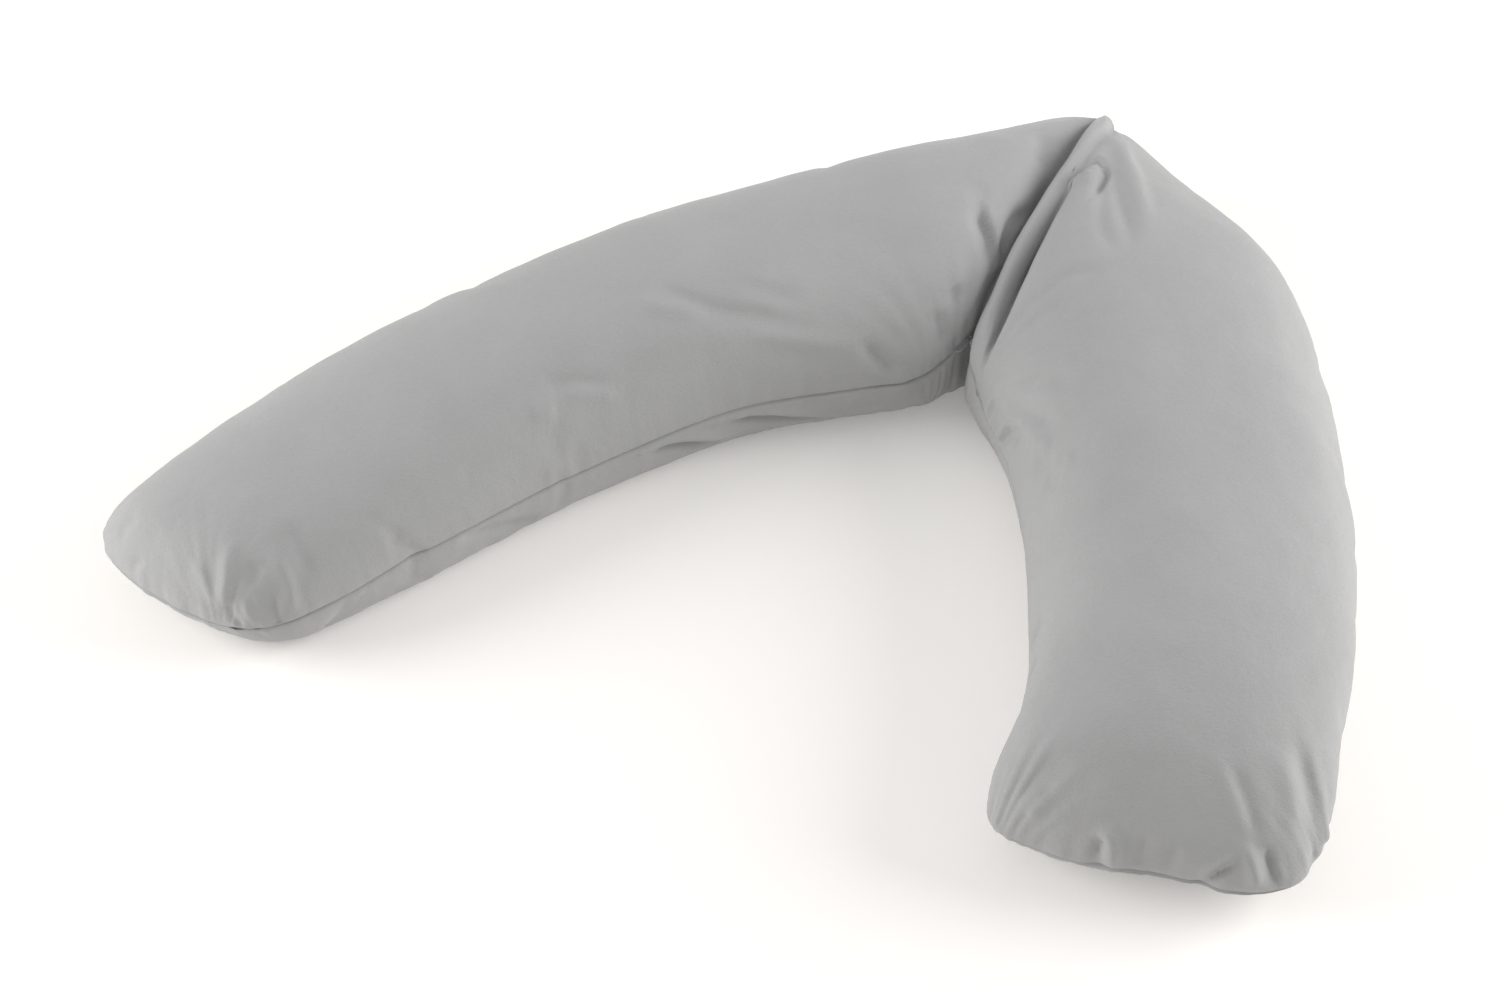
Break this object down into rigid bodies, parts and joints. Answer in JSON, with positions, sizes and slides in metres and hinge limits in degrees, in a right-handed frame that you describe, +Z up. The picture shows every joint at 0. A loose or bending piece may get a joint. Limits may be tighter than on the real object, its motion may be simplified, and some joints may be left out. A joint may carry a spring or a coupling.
{
  "type": "nursing pillow",
  "caption": "Long soft cushion bent into a V of two rounded arms: a bead-filled inner cushion in a plain cotton cover with a zip in its outer seam.",
  "frame": {"origin": "on the ground under the middle of the pillow's bounding box", "axes": "+Z up from the ground, +X to the right arm's side, +Y to the fold: the V of the arms opens towards -Y and -X"},
  "size_m": [1.0952, 0.827, 0.1787],
  "materials": {
    "cover": "matte grey cotton jersey",
    "casing": "plain undyed cotton lawn",
    "beads": "loose expanded polystyrene beads",
    "zip_tape": "woven polyester tape",
    "zip_coil": "satin nylon coil",
    "zip_metal": "satin lacquered zinc",
    "label": "blank satin ribbon"
  },
  "bodies": {
    "arm_left": {"cover_top_left": "cover", "casing_top_left": "casing", "cover_bottom_left": "cover", "casing_bottom_left": "casing", "bead_fill_left": "beads", "zip_tape_upper": "zip_tape", "zip_tape_lower": "zip_tape", "zip_coil_upper": "zip_coil", "zip_coil_lower": "zip_coil", "zip_stop_closed": "zip_metal", "zip_stop_open": "zip_metal", "care_label": "label"},
    "arm_right": {"cover_top_right": "cover", "casing_top_right": "casing", "cover_bottom_right": "cover", "casing_bottom_right": "casing", "bead_fill_right": "beads"},
    "slider": {"zip_slider": "zip_metal"},
    "pull": {"zip_pull": "zip_metal"}
  },
  "joints": [
    {"name": "arm_fold", "type": "hinge", "parent": "arm_left", "child": "arm_right", "pos_m": [0.36476, 0.41867, 0.062], "axis": [0, 0, 1], "range_deg": [-5, 60]},
    {"name": "zip_slide", "type": "hinge", "parent": "arm_left", "child": "slider", "pos_m": [0.53238, -1.04371, 0.06235], "axis": [0, 0, 1], "range_deg": [0, 18.05]},
    {"name": "pull_flip", "type": "hinge", "parent": "slider", "child": "pull", "pos_m": [0.04254, 0.33591, 0.06235], "axis": [0, 0, -1], "range_deg": [0, 170]}
  ]
}
